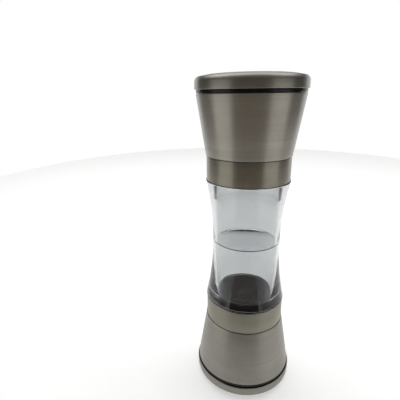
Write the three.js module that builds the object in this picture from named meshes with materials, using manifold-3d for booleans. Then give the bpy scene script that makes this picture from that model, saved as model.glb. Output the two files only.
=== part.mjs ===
// A double-ended salt and pepper mill: one clear jar with a grinding head on each end.
// Millimetres, +Z up. The mill stands on its lower lid, with its axis on Z.
//
// One end is built with z = 0 on its lid and z rising towards the jar's waist.
// The lower end is used as built. The upper end is the same end turned half round about X.

import * as THREE from "three";
import { mergeVertices } from "three/addons/utils/BufferGeometryUtils.js";
import ManifoldModule from "manifold-3d";

// ---- Driving dimensions of the whole mill ----
const TOTAL_HEIGHT = 200;
const WAIST_Z = TOTAL_HEIGHT / 2;
const OUTER_SEGMENTS = 32;
const INNER_SEGMENTS = 20;
const RUNNING_GAP = 0.3;

// ---- Lid ----
const LID_RADIUS = 32;
const LID_RIM_Z = 8.3;
const LID_FLAT_RADIUS = 18;
const LID_CROWN = 1.25;
const LID_EDGE_ROUND = 3;
const SHEET_STEEL = 0.6;
const LID_PLUG_RADIUS = 27.2;
const LID_PLUG_END_Z = 16;

// ---- Turning head: flared skirt, housing and outlet ----
const SKIRT_START_Z = 10.4;
const SKIRT_END_Z = 45.2;
const SKIRT_WIDE_RADIUS = 31.3;
const SKIRT_NARROW_RADIUS = 25.6;
const SKIRT_WALL = 0.7;
const HOUSING_MOUTH_Z = 10.2;
const HOUSING_MOUTH_RADIUS = 27.6;
const HOUSING_WALL = 2;
const OUTLET_LEDGE_Z = 19.8;
const SEAT_TUBE_RADIUS = 18.4;
const BURR_SEAT_RADIUS = 15.4;
const BURR_LEDGE_Z = 34.4;

// ---- Grinding burrs and adjuster ----
const BURR_START_Z = 21.6;
const BURR_RADIUS = 15.1;
const OUTER_TEETH = 20;
const INNER_TEETH = 12;
const CONE_START_Z = 21.2;
const CONE_END_Z = 35.6;
const HUB_RADIUS = 4.4;
const HUB_END_Z = 37;
const SHAFT_RADIUS = 2.4;
const SHAFT_START_Z = 15.6;
const SHAFT_END_Z = 50.1;
const KNOB_START_Z = 12.4;
const KNOB_END_Z = 19.1;
const KNOB_RADIUS = 8.6;
const KNOB_LOBES = 8;
const SPRING_RADIUS = 3.7;
const SPRING_WIRE_RADIUS = 0.4;
const SPRING_TURNS = 4.5;

// ---- Fixed base: carrier, screw ring and collar ----
const FLANGE_START_Z = 45.8;
const FLANGE_END_Z = 47.3;
const FLANGE_RADIUS = 24.4;
const SPIGOT_RADIUS = 14.1;
const SPIGOT_BORE_RADIUS = 12.4;
const SPIGOT_START_Z = 40.2;
const CLIP_START_Z = 41.35;
const CLIP_THICKNESS = 1.2;
const CLIP_RADIUS = 15.9;
const PLUG_RADIUS = 18.1;
const PLUG_END_Z = 61.6;
const BOSS_RADIUS = 5.2;
const BOSS_START_Z = 44.8;
const FEED_WINDOWS = 4;
const FEED_WINDOW_DEGREES = 58;
const COLLAR_RADIUS = 25.3;
const COLLAR_START_Z = 45.5;
const COLLAR_END_Z = 59.9;
const COLLAR_WALL = 0.35;
const RING_LIP = 0.6;

// ---- Jar ----
const JAR_SHOULDER_Z = 60.2;
const JAR_SHOULDER_RADIUS = 25.9;
const JAR_WAIST_RADIUS = 21.4;
const JAR_CURVE_POWER = 2.1;
const JAR_MOUTH_Z = 48.3;
const JAR_MOUTH_BORE_RADIUS = 18.8;
const JAR_WAIST_BORE_RADIUS = 19.2;
const JAR_WEB = 1;
const NECK_RADIUS = 22;

// ---- Screw thread between jar and head ----
const THREAD_PITCH = 4;
const THREAD_HEIGHT = 0.95;
const THREAD_START_Z = 50.8;
const THREAD_TURNS = 1.5;
const THREAD_STEPS_PER_TURN = 20;
const THREAD_PLAY = 0.35;

// ---- Materials ----
const steel = new THREE.MeshStandardMaterial({ color: 0xa5a49e, roughness: 0.36, metalness: 1 });
const bright = new THREE.MeshStandardMaterial({ color: 0xb4b4b2, roughness: 0.25, metalness: 1 });
const plastic = new THREE.MeshStandardMaterial({ color: 0x15161a, roughness: 0.45, metalness: 0 });
const ceramic = new THREE.MeshStandardMaterial({ color: 0xe9e6dd, roughness: 0.5, metalness: 0 });
const silicone = new THREE.MeshStandardMaterial({ color: 0xd9dcdd, roughness: 0.6, metalness: 0 });
const acrylic = new THREE.MeshStandardMaterial({
  color: 0xe4e8e9,
  roughness: 0.06,
  metalness: 0,
  transparent: true,
  opacity: 0.35,
});

const wasm = await ManifoldModule();
wasm.setup();

// ---- Helpers ----

// Revolves an outline of [radius, height] points about Z.
// The outline runs up its outer side, so that its faces point outwards.
function turned(outline, segments) {
  const points = outline.map(([radius, height]) => new THREE.Vector2(radius, height));
  return new THREE.LatheGeometry(points, segments).rotateX(Math.PI / 2);
}

// Revolves an outline that never touches the axis and closes on itself.
function turnedRing(outline, segments) {
  return turned([...outline, outline[0]], segments);
}

// Moves each point of a turned shape in or out by shift(angle, radius, height).
function fluted(geometry, shift) {
  const position = geometry.attributes.position;
  for (let i = 0; i < position.count; i++) {
    const x = position.getX(i);
    const y = position.getY(i);
    const radius = Math.hypot(x, y);
    if (radius === 0) continue;
    const change = shift(Math.atan2(y, x), radius, position.getZ(i));
    const scale = (radius + change) / radius;
    position.setXY(i, x * scale, y * scale);
  }
  return geometry;
}

// Points of a circular arc in the [radius, height] plane, both ends included.
function arc(centreRadius, centreHeight, radius, startDegrees, endDegrees, steps) {
  const points = [];
  for (let i = 0; i <= steps; i++) {
    const angle = THREE.MathUtils.degToRad(startDegrees + ((endDegrees - startDegrees) * i) / steps);
    points.push([
      centreRadius + radius * Math.cos(angle),
      centreHeight + radius * Math.sin(angle),
    ]);
  }
  return points;
}

// A geometry as a manifold-3d solid, for a join or a cut.
function toSolid(geometry) {
  const bare = new THREE.BufferGeometry();
  bare.setAttribute("position", geometry.getAttribute("position"));
  bare.setIndex(geometry.getIndex());
  const merged = mergeVertices(bare, 1e-3);
  return new wasm.Manifold(
    new wasm.Mesh({
      numProp: 3,
      vertProperties: merged.attributes.position.array,
      triVerts: new Uint32Array(merged.index.array),
    }),
  );
}

// A manifold-3d solid as a geometry.
function toGeometry(solid) {
  const mesh = solid.getMesh();
  const geometry = new THREE.BufferGeometry();
  geometry.setAttribute("position", new THREE.BufferAttribute(mesh.vertProperties, 3));
  geometry.setIndex(new THREE.BufferAttribute(mesh.triVerts, 1));
  geometry.computeVertexNormals();
  return geometry;
}

// A ridge of trapezoid section that winds up around Z as a right-hand thread, with flat ends.
function threadRidge(innerRadius, outerRadius, rootWidth, crestWidth, startTurn, endTurn) {
  const steps = Math.round((endTurn - startTurn) * THREAD_STEPS_PER_TURN);
  const corners = [
    [innerRadius, -rootWidth / 2],
    [outerRadius, -crestWidth / 2],
    [outerRadius, crestWidth / 2],
    [innerRadius, rootWidth / 2],
  ];
  const positions = [];
  for (let i = 0; i <= steps; i++) {
    const turn = startTurn + ((endTurn - startTurn) * i) / steps;
    const angle = 2 * Math.PI * turn;
    for (const [radius, height] of corners) {
      positions.push(
        radius * Math.cos(angle),
        radius * Math.sin(angle),
        THREAD_START_Z + THREAD_PITCH * turn + height,
      );
    }
  }
  const index = [0, 1, 2, 0, 2, 3];
  for (let i = 0; i < steps; i++) {
    for (let k = 0; k < 4; k++) {
      const a = 4 * i + k;
      const b = 4 * i + ((k + 1) % 4);
      index.push(a, a + 4, b, b, a + 4, b + 4);
    }
  }
  const last = 4 * steps;
  index.push(last, last + 2, last + 1, last, last + 3, last + 2);
  const geometry = new THREE.BufferGeometry();
  geometry.setAttribute("position", new THREE.Float32BufferAttribute(positions, 3));
  geometry.setIndex(index);
  return geometry;
}

// The radius of the housing's outer wall, which follows the inside of the skirt.
function housingRadius(z) {
  const slope = (SKIRT_WIDE_RADIUS - SKIRT_NARROW_RADIUS) / (SKIRT_END_Z - SKIRT_START_Z);
  const inside = SKIRT_WIDE_RADIUS - slope * (z - SKIRT_START_Z) - SKIRT_WALL;
  return inside - RUNNING_GAP - 0.05;
}

// The radius of the jar's hourglass outside at a height.
function jarRadius(z) {
  const share = Math.abs(z - WAIST_Z) / (WAIST_Z - JAR_SHOULDER_Z);
  const flare = JAR_SHOULDER_RADIUS - JAR_WAIST_RADIUS;
  return JAR_WAIST_RADIUS + flare * share ** JAR_CURVE_POWER;
}

// ---- Lid ----

// The drawn steel cap: a flat centre, a slightly crowned face and a rounded edge.
function lidShell() {
  const edgeRadius = LID_RADIUS - LID_EDGE_ROUND;
  const inner = LID_RADIUS - SHEET_STEEL;
  const cornerZ = LID_CROWN + LID_EDGE_ROUND;
  const outline = [
    [0, 0],
    [LID_FLAT_RADIUS, 0],
    [(LID_FLAT_RADIUS + edgeRadius) / 2, LID_CROWN * 0.42],
    ...arc(edgeRadius, cornerZ, LID_EDGE_ROUND, -90, 0, 3),
    [LID_RADIUS, LID_RIM_Z],
    [inner, LID_RIM_Z],
    ...arc(edgeRadius, cornerZ, LID_EDGE_ROUND - SHEET_STEEL, 0, -90, 2),
    [(LID_FLAT_RADIUS + edgeRadius) / 2, LID_CROWN * 0.42 + SHEET_STEEL],
    [LID_FLAT_RADIUS, SHEET_STEEL],
    [0, SHEET_STEEL],
  ];
  return turned(outline, OUTER_SEGMENTS);
}

// The plastic lining, with the ring that plugs into the housing's mouth.
function lidLiner() {
  const outline = [
    [0, 0.9],
    [LID_FLAT_RADIUS, 0.9],
    [29.4, 2.4],
    [31.1, 4.2],
    [31.1, HOUSING_MOUTH_Z - RUNNING_GAP],
    [LID_PLUG_RADIUS, HOUSING_MOUTH_Z - RUNNING_GAP],
    [LID_PLUG_RADIUS - 0.3, LID_PLUG_END_Z],
    [LID_PLUG_RADIUS - 1.8, LID_PLUG_END_Z],
    [LID_PLUG_RADIUS - 1.8, 2.7],
    [0, 2.7],
  ];
  return turned(outline, OUTER_SEGMENTS);
}

// ---- Turning head ----

// The flared steel skirt that the hand turns.
function skirtShell() {
  const innerWide = SKIRT_WIDE_RADIUS - SKIRT_WALL;
  const outline = [
    [innerWide, SKIRT_START_Z],
    [SKIRT_WIDE_RADIUS - 0.25, SKIRT_START_Z],
    [SKIRT_WIDE_RADIUS, SKIRT_START_Z + 0.4],
    [SKIRT_NARROW_RADIUS, SKIRT_END_Z],
    [SKIRT_NARROW_RADIUS - SKIRT_WALL, SKIRT_END_Z],
    [innerWide, SKIRT_START_Z + 0.6],
  ];
  return turnedRing(outline, OUTER_SEGMENTS);
}

// The plastic body inside the skirt: a mouth for the lid, a seat for the outer burr and
// a web that turns on the carrier's spigot.
function grinderHousing() {
  const webStartZ = 43;
  const wallInside = (z) => housingRadius(z) - HOUSING_WALL;
  const outline = [
    [HOUSING_MOUTH_RADIUS, HOUSING_MOUTH_Z],
    [housingRadius(HOUSING_MOUTH_Z), HOUSING_MOUTH_Z],
    [housingRadius(SKIRT_END_Z), SKIRT_END_Z],
    [SPIGOT_RADIUS + RUNNING_GAP, SKIRT_END_Z],
    [SPIGOT_RADIUS + RUNNING_GAP, webStartZ],
    [CLIP_RADIUS + 0.7, webStartZ],
    [CLIP_RADIUS + 0.7, BURR_LEDGE_Z + 1.8],
    [SPIGOT_BORE_RADIUS + 0.5, BURR_LEDGE_Z + 1.8],
    [SPIGOT_BORE_RADIUS + 0.5, BURR_LEDGE_Z],
    [BURR_SEAT_RADIUS, BURR_LEDGE_Z],
    [BURR_SEAT_RADIUS, OUTLET_LEDGE_Z + 0.2],
    [SEAT_TUBE_RADIUS, OUTLET_LEDGE_Z + 0.2],
    [SEAT_TUBE_RADIUS, webStartZ - 0.2],
    [wallInside(webStartZ), webStartZ - 0.2],
    [wallInside(OUTLET_LEDGE_Z), OUTLET_LEDGE_Z],
    [HOUSING_MOUTH_RADIUS, OUTLET_LEDGE_Z],
  ];
  return turnedRing(outline, OUTER_SEGMENTS);
}

// The ring-shaped floor of the outlet, between the burr seat and the mouth wall.
function outletPlate() {
  const outline = [
    [18.7, 17.4],
    [20.6, 17.4],
    [21.4, 18.2],
    [HOUSING_MOUTH_RADIUS - RUNNING_GAP, 18.2],
    [HOUSING_MOUTH_RADIUS - RUNNING_GAP, OUTLET_LEDGE_Z - 0.1],
    [18.7, OUTLET_LEDGE_Z - 0.1],
  ];
  return turnedRing(outline, OUTER_SEGMENTS);
}

// The ring that holds the outer burr in its seat.
function burrRetainer() {
  const outline = [
    [13.6, 18],
    [14.1, 17.5],
    [18.3, 17.5],
    [18.3, OUTLET_LEDGE_Z],
    [BURR_RADIUS, OUTLET_LEDGE_Z],
    [BURR_RADIUS, BURR_START_Z - 0.1],
    [13.6, BURR_START_Z - 0.1],
  ];
  return turnedRing(outline, INNER_SEGMENTS);
}

// The ceramic ring with teeth inside: deep at the throat, fine at the outlet.
function outerBurr() {
  const outline = [
    [12.9, BURR_START_Z],
    [BURR_RADIUS, BURR_START_Z],
    [BURR_RADIUS, BURR_LEDGE_Z - 0.2],
    [12.1, BURR_LEDGE_Z - 0.2],
    [11.6, 29],
  ];
  const tooth = (angle, radius, z) => {
    if (radius > 13.5) return 0;
    const depth = THREE.MathUtils.mapLinear(z, BURR_START_Z, BURR_LEDGE_Z, 0.5, 1.4);
    return depth * (0.5 - 0.5 * Math.cos(OUTER_TEETH * angle));
  };
  return fluted(turnedRing(outline, 2 * OUTER_TEETH), tooth);
}

// The ceramic cone with teeth outside, wide at the outlet.
function innerBurr() {
  const boreRadius = HUB_RADIUS + 0.2;
  const outline = [
    [boreRadius, CONE_START_Z],
    [12.4, CONE_START_Z],
    [11.5, 24],
    [9.5, 29.5],
    [6.2, CONE_END_Z],
    [boreRadius, CONE_END_Z],
  ];
  const tooth = (angle, radius, z) => {
    if (radius < 6) return 0;
    const depth = THREE.MathUtils.mapLinear(z, CONE_START_Z, CONE_END_Z, 0.5, 1.1);
    return -depth * (0.5 - 0.5 * Math.cos(INNER_TEETH * angle));
  };
  return fluted(turnedRing(outline, 3 * INNER_TEETH), tooth);
}

// ---- Adjuster ----

// The sleeve that carries the inner burr along the shaft.
function burrHub() {
  const bore = SHAFT_RADIUS + RUNNING_GAP;
  const outline = [
    [bore, 19.4],
    [8.8, 19.4],
    [8.8, CONE_START_Z - 0.1],
    [HUB_RADIUS, CONE_START_Z - 0.1],
    [HUB_RADIUS, HUB_END_Z],
    [bore, HUB_END_Z],
  ];
  return turnedRing(outline, INNER_SEGMENTS);
}

// The knob that screws along the shaft and sets how fine the mill grinds.
function adjusterKnob() {
  const bore = SHAFT_RADIUS + RUNNING_GAP;
  const outline = [
    [0, KNOB_START_Z],
    [KNOB_RADIUS - 1, KNOB_START_Z],
    [KNOB_RADIUS, KNOB_START_Z + 1],
    [KNOB_RADIUS, KNOB_END_Z - 0.8],
    [KNOB_RADIUS - 0.8, KNOB_END_Z],
    [bore, KNOB_END_Z],
    [bore, KNOB_START_Z + 1.5],
    [0, KNOB_START_Z + 1.5],
  ];
  const grip = (angle, radius) => (radius < 6 ? 0 : 0.55 * Math.cos(KNOB_LOBES * angle) - 0.55);
  return fluted(turned(outline, 4 * KNOB_LOBES), grip);
}

// The steel shaft, fixed in the carrier's boss.
function shaft() {
  const outline = [
    [0, SHAFT_START_Z],
    [SHAFT_RADIUS - 0.4, SHAFT_START_Z],
    [SHAFT_RADIUS, SHAFT_START_Z + 0.4],
    [SHAFT_RADIUS, SHAFT_END_Z],
    [0, SHAFT_END_Z],
  ];
  return turned(outline, 16);
}

// The spring's centre line, which winds about Z between two heights.
class SpringPath extends THREE.Curve {
  constructor(startZ, endZ) {
    super();
    this.startZ = startZ;
    this.endZ = endZ;
  }

  getPoint(share, target = new THREE.Vector3()) {
    const angle = 2 * Math.PI * SPRING_TURNS * share;
    return target.set(
      SPRING_RADIUS * Math.cos(angle),
      SPRING_RADIUS * Math.sin(angle),
      THREE.MathUtils.lerp(this.startZ, this.endZ, share),
    );
  }
}

// The spring between the carrier's boss and the hub.
function spring() {
  const wire = new THREE.Shape();
  wire.absarc(0, 0, SPRING_WIRE_RADIUS, 0, 2 * Math.PI);
  const clear = SPRING_WIRE_RADIUS + 0.1;
  return new THREE.ExtrudeGeometry(wire, {
    steps: SPRING_TURNS * 10,
    curveSegments: 3,
    bevelEnabled: false,
    extrudePath: new SpringPath(HUB_END_Z + clear, BOSS_START_Z - clear),
  });
}

// ---- Fixed base ----

// A sector-shaped cutter for one feed window through the carrier's floor.
function feedWindow(centreDegrees) {
  const half = THREE.MathUtils.degToRad(FEED_WINDOW_DEGREES / 2);
  const centre = THREE.MathUtils.degToRad(centreDegrees);
  const sector = new THREE.Shape();
  sector.absarc(0, 0, SPIGOT_BORE_RADIUS - 0.1, centre - half, centre + half, false);
  sector.absarc(0, 0, BOSS_RADIUS + 1.2, centre + half, centre - half, true);
  const cutter = new THREE.ExtrudeGeometry(sector, {
    depth: 9,
    curveSegments: 3,
    bevelEnabled: false,
  });
  return cutter.translate(0, 0, 52);
}

// The plastic base of the jar: a plug in the jar's bore with a domed floor, a flange that
// the screw ring sits on, and a spigot that the housing turns on.
function carrier() {
  const clipEndZ = CLIP_START_Z + CLIP_THICKNESS;
  const grooveRadius = SPIGOT_RADIUS - 0.6;
  const outline = [
    [0, SHAFT_END_Z + 0.1],
    [SHAFT_RADIUS + 0.1, SHAFT_END_Z + 0.1],
    [SHAFT_RADIUS + 0.1, BOSS_START_Z],
    [BOSS_RADIUS, BOSS_START_Z],
    [BOSS_RADIUS, 53.4],
    [SPIGOT_BORE_RADIUS, 53.4],
    [SPIGOT_BORE_RADIUS, SPIGOT_START_Z],
    [SPIGOT_RADIUS, SPIGOT_START_Z],
    [SPIGOT_RADIUS, CLIP_START_Z - 0.15],
    [grooveRadius, CLIP_START_Z - 0.15],
    [grooveRadius, clipEndZ + 0.15],
    [SPIGOT_RADIUS, clipEndZ + 0.15],
    [SPIGOT_RADIUS, FLANGE_START_Z],
    [FLANGE_RADIUS, FLANGE_START_Z],
    [FLANGE_RADIUS, FLANGE_END_Z],
    [PLUG_RADIUS, FLANGE_END_Z],
    [PLUG_RADIUS, PLUG_END_Z],
    [PLUG_RADIUS - 1.2, PLUG_END_Z],
    [PLUG_RADIUS - 1.5, 58.4],
    [14.8, 58.4],
    [14.4, 55.9],
    [BOSS_RADIUS + 3, 55.9],
    [4.4, 59],
    [0, 60],
  ];
  let solid = toSolid(turned(outline, INNER_SEGMENTS));
  for (let i = 0; i < FEED_WINDOWS; i++) {
    solid = solid.subtract(toSolid(feedWindow((360 * i) / FEED_WINDOWS)));
  }
  return toGeometry(solid);
}

// The spring-steel clip in the spigot's groove, which keeps the housing on.
function retainingClip() {
  const halfMouth = THREE.MathUtils.degToRad(14);
  const outline = new THREE.Shape();
  outline.absarc(0, 0, CLIP_RADIUS, halfMouth, 2 * Math.PI - halfMouth, false);
  outline.absarc(0, 0, SPIGOT_RADIUS - 0.35, 2 * Math.PI - halfMouth, halfMouth, true);
  const clip = new THREE.ExtrudeGeometry(outline, {
    depth: CLIP_THICKNESS,
    curveSegments: 10,
    bevelEnabled: false,
  });
  return clip.translate(0, 0, CLIP_START_Z);
}

// The ring with the female thread that the jar screws into.
function screwRing() {
  const rootWidth = 2 + 2 * THREAD_PLAY;
  const crestWidth = 1 + 2 * THREAD_PLAY;
  const outline = [
    [NECK_RADIUS + THREAD_PLAY, FLANGE_END_Z + 0.1],
    [FLANGE_RADIUS, FLANGE_END_Z + 0.1],
    [FLANGE_RADIUS, COLLAR_END_Z - RING_LIP],
    [COLLAR_RADIUS - COLLAR_WALL - RUNNING_GAP, COLLAR_END_Z - RING_LIP],
    [COLLAR_RADIUS - COLLAR_WALL - RUNNING_GAP, COLLAR_END_Z],
    [NECK_RADIUS + THREAD_PLAY, COLLAR_END_Z],
  ];
  const crestRadius = NECK_RADIUS + THREAD_HEIGHT + THREAD_PLAY + 0.1;
  const groove = threadRidge(NECK_RADIUS, crestRadius, rootWidth, crestWidth, -0.0625, 2.75);
  const ring = toSolid(turnedRing(outline, OUTER_SEGMENTS));
  return toGeometry(ring.subtract(toSolid(groove)));
}

// The short steel band around the screw ring.
function collarBand() {
  const outline = [
    [COLLAR_RADIUS - COLLAR_WALL, COLLAR_START_Z],
    [COLLAR_RADIUS, COLLAR_START_Z],
    [COLLAR_RADIUS, COLLAR_END_Z],
    [COLLAR_RADIUS - COLLAR_WALL, COLLAR_END_Z],
  ];
  return turnedRing(outline, OUTER_SEGMENTS);
}

// The flat silicone ring that seals the jar's mouth.
function jarGasket() {
  const outline = [
    [18.9, FLANGE_END_Z + 0.05],
    [21.8, FLANGE_END_Z + 0.05],
    [21.8, JAR_MOUTH_Z - 0.05],
    [18.9, JAR_MOUTH_Z - 0.05],
  ];
  return turnedRing(outline, INNER_SEGMENTS);
}

// ---- Jar ----

// The clear jar: a straight bore from each end to a thin web at the waist, inside an
// hourglass outside, with a threaded neck on each end.
function jar() {
  const webZ = WAIST_Z - JAR_WEB / 2;
  const half = [
    [0, webZ],
    [JAR_WAIST_BORE_RADIUS - 0.3, webZ],
    [JAR_WAIST_BORE_RADIUS, webZ - 0.3],
    [JAR_MOUTH_BORE_RADIUS, JAR_MOUTH_Z],
    [NECK_RADIUS, JAR_MOUTH_Z],
    [NECK_RADIUS, JAR_SHOULDER_Z],
    [JAR_SHOULDER_RADIUS - 0.5, JAR_SHOULDER_Z],
    [jarRadius(JAR_SHOULDER_Z + 0.5), JAR_SHOULDER_Z + 0.5],
  ];
  const rows = 6;
  for (let i = 1; i < rows; i++) {
    const z = THREE.MathUtils.lerp(JAR_SHOULDER_Z + 0.5, WAIST_Z, i / rows);
    half.push([jarRadius(z), z]);
  }
  const mirrored = half.map(([radius, z]) => [radius, TOTAL_HEIGHT - z]).reverse();
  const outline = [...half, [JAR_WAIST_RADIUS, WAIST_Z], ...mirrored];
  const ridge = threadRidge(NECK_RADIUS - 0.5, NECK_RADIUS + THREAD_HEIGHT, 2, 1, 0, THREAD_TURNS);
  const lowerThread = toSolid(ridge);
  const upperThread = toSolid(ridge.clone().applyMatrix4(turnedOver()));
  const body = toSolid(turned(outline, OUTER_SEGMENTS));
  return toGeometry(body.add(lowerThread).add(upperThread));
}

// ---- Assembly ----

// The half turn about X that puts one end at the top of the mill.
function turnedOver() {
  const matrix = new THREE.Matrix4().makeRotationX(Math.PI);
  return matrix.setPosition(0, 0, TOTAL_HEIGHT);
}

// A named mesh in a group.
function addPart(group, name, geometry, material) {
  const mesh = new THREE.Mesh(geometry, material);
  mesh.name = name;
  group.add(mesh);
}

// Every piece of one end, from its lid to its gasket.
function millEnd(side) {
  const end = new THREE.Group();
  end.name = side + "_end";
  addPart(end, side + "_lid_shell", lidShell(), steel);
  addPart(end, side + "_lid_liner", lidLiner(), plastic);
  addPart(end, side + "_skirt_shell", skirtShell(), steel);
  addPart(end, side + "_grinder_housing", grinderHousing(), plastic);
  addPart(end, side + "_outlet_plate", outletPlate(), plastic);
  addPart(end, side + "_burr_retainer", burrRetainer(), plastic);
  addPart(end, side + "_outer_burr", outerBurr(), ceramic);
  addPart(end, side + "_inner_burr", innerBurr(), ceramic);
  addPart(end, side + "_burr_hub", burrHub(), plastic);
  addPart(end, side + "_adjuster_knob", adjusterKnob(), plastic);
  addPart(end, side + "_shaft", shaft(), bright);
  addPart(end, side + "_spring", spring(), bright);
  addPart(end, side + "_carrier", carrier(), plastic);
  addPart(end, side + "_retaining_clip", retainingClip(), bright);
  addPart(end, side + "_screw_ring", screwRing(), plastic);
  addPart(end, side + "_collar_band", collarBand(), steel);
  addPart(end, side + "_jar_gasket", jarGasket(), silicone);
  return end;
}

const mill = new THREE.Group();
mill.name = "double_ended_mill";
mill.add(millEnd("lower"));
const upperEnd = millEnd("upper");
upperEnd.applyMatrix4(turnedOver());
mill.add(upperEnd);
addPart(mill, "jar", jar(), acrylic);

export default mill;
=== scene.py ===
# %% [markdown]
# # A double-ended pepper mill
# One clear jar carries a grinding head on each end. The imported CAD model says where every
# piece is and how it moves. This script gives each piece its finished shape and material.
# Nearly every piece is a turned part, so it starts as an outline that is revolved about Z.
# Outlines are in millimetres and start at the lid. The upper end is the lower end turned over.

import math

import bmesh
import bpy
from mathutils import Matrix, Vector


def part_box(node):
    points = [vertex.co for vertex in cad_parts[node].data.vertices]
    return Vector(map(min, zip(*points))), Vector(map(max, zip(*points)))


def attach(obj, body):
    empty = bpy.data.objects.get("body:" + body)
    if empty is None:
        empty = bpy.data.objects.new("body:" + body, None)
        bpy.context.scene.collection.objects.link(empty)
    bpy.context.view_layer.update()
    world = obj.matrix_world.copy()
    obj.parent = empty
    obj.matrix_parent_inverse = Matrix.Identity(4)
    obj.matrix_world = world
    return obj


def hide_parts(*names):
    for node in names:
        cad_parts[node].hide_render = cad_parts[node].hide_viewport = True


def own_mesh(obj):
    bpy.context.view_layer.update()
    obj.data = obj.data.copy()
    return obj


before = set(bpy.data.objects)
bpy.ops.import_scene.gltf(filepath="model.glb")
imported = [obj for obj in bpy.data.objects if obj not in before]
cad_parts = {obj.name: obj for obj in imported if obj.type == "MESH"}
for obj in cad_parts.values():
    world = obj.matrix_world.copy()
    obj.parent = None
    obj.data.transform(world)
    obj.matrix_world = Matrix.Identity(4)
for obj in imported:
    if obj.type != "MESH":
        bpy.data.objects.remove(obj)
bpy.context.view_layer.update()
MM = 0.001
SIDES = ("lower", "upper")

# %% [markdown]
# ## Sizes from the frame
# A node's box gives its outer radius and its lowest and highest level. The lower end is
# read, because its levels count up from the table, as the outlines do.


# %% Radii and levels of the CAD nodes
def span(node):
    """Outer radius, lowest level and highest level of a node, in millimetres."""
    low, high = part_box(node)
    return high.x / MM, low.z / MM, high.z / MM


LID_R, _, LID_RIM = span("lower_lid_shell")
LINER_R, LINER_LOW, LINER_TOP = span("lower_lid_liner")
SKIRT_R, SKIRT_LOW, SKIRT_TOP = span("lower_skirt_shell")
_, HOUSING_LOW, HOUSING_TOP = span("lower_grinder_housing")
PLATE_R, PLATE_LOW, PLATE_TOP = span("lower_outlet_plate")
RETAINER_R, RETAINER_LOW, RETAINER_TOP = span("lower_burr_retainer")
BURR_R, BURR_LOW, BURR_TOP = span("lower_outer_burr")
CONE_R, CONE_LOW, CONE_TOP = span("lower_inner_burr")
HUB_FLANGE_R, HUB_LOW, HUB_TOP = span("lower_burr_hub")
KNOB_R, KNOB_LOW, KNOB_TOP = span("lower_adjuster_knob")
SHAFT_R, SHAFT_LOW, SHAFT_TOP = span("lower_shaft")
SPRING_R, SPRING_LOW, SPRING_TOP = span("lower_spring")
CLIP_R, CLIP_LOW, CLIP_TOP = span("lower_retaining_clip")
CARRIER_R, CARRIER_LOW, CARRIER_TOP = span("lower_carrier")
RING_R, RING_LOW, RING_TOP = span("lower_screw_ring")
COLLAR_R, COLLAR_LOW, COLLAR_TOP = span("lower_collar_band")
GASKET_R, GASKET_LOW, GASKET_TOP = span("lower_jar_gasket")
JAR_R, JAR_LOW, JAR_HIGH = span("jar")
WAIST = (JAR_LOW + JAR_HIGH) / 2
HEIGHT = 2 * WAIST
SHOULDER = COLLAR_TOP + 0.3
print("lid radius", round(LID_R, 2), "jar radius", round(JAR_R, 2), "height", round(HEIGHT, 2))

# %% [markdown]
# ## Node helper
# One small function adds a node to any tree, shader or geometry. It sets the node's own
# settings, fills each input with a plain value or a link, and sets a colour ramp's stops.
# Another maps sRGB hex colours to the linear ones that shaders use.


# %% Add a node
def add(tree, kind, inputs=None, stops=(), **settings):
    """Adds a node. An input is linked to a socket or a node's first output, or set."""
    node = tree.nodes.new(kind)
    for name, value in settings.items():
        setattr(node, name, value)
    for name, value in (inputs or {}).items():
        if isinstance(value, bpy.types.Node):
            value = next(socket for socket in value.outputs if socket.enabled)
        if isinstance(value, bpy.types.NodeSocket):
            tree.links.new(value, node.inputs[name])
        else:
            node.inputs[name].default_value = value
    for i, (place, colour) in enumerate(stops):
        elements = node.color_ramp.elements
        stop = elements[i] if i < len(elements) else elements.new(place)
        stop.position, stop.color = place, colour
    return node


def srgb(code):
    """A hex colour such as '#b8b5ac' as linear red, green, blue and alpha."""
    channels = [int(code[i : i + 2], 16) / 255 for i in (1, 3, 5)]
    linear = [c / 12.92 if c <= 0.04045 else ((c + 0.055) / 1.055) ** 2.4 for c in channels]
    return (*linear, 1.0)


# %% [markdown]
# ## Satin stainless steel
# The lids, skirts and collars are pressed from stainless sheet and brushed while they spin,
# so the scratches run round the axis. Such scratches spread a reflection along the axis and
# keep it sharp round it, which gives the eye tall soft bars of light. The shader's anisotropy
# does that. A noise stretched round the axis draws the scratches themselves. Real ones are
# about 0.05 mm apart, too fine to show, so they are drawn 0.3 mm apart with low relief.


# %% Materials and their patterns
def new_material(name):
    """An empty material and its tree."""
    material = bpy.data.materials.new(name)
    material.use_nodes = True
    material.node_tree.nodes.clear()
    return material, material.node_tree


def surface(tree, shade, rough, relief=None, depth_mm=0.0, **sockets):
    """Ends a material: its colour, its roughness, its relief as bump, and its plain values."""
    inputs = {name.replace("_", " "): value for name, value in sockets.items()}
    inputs.update({"Base Color": shade, "Roughness": rough})
    if relief is not None:
        bump = {"Height": relief, "Distance": depth_mm * MM, "Strength": 1.0}
        inputs["Normal"] = add(tree, "ShaderNodeBump", bump)
    shader = add(tree, "ShaderNodeBsdfPrincipled", inputs)
    add(tree, "ShaderNodeOutputMaterial", {"Surface": shader})


def from_axis(tree, place):
    """A place without its height, and its distance from the axis."""
    flat = add(tree, "ShaderNodeVectorMath", {0: place, 1: (1, 1, 0)}, operation="MULTIPLY")
    return flat, add(tree, "ShaderNodeVectorMath", {0: flat}, operation="LENGTH")


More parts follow.
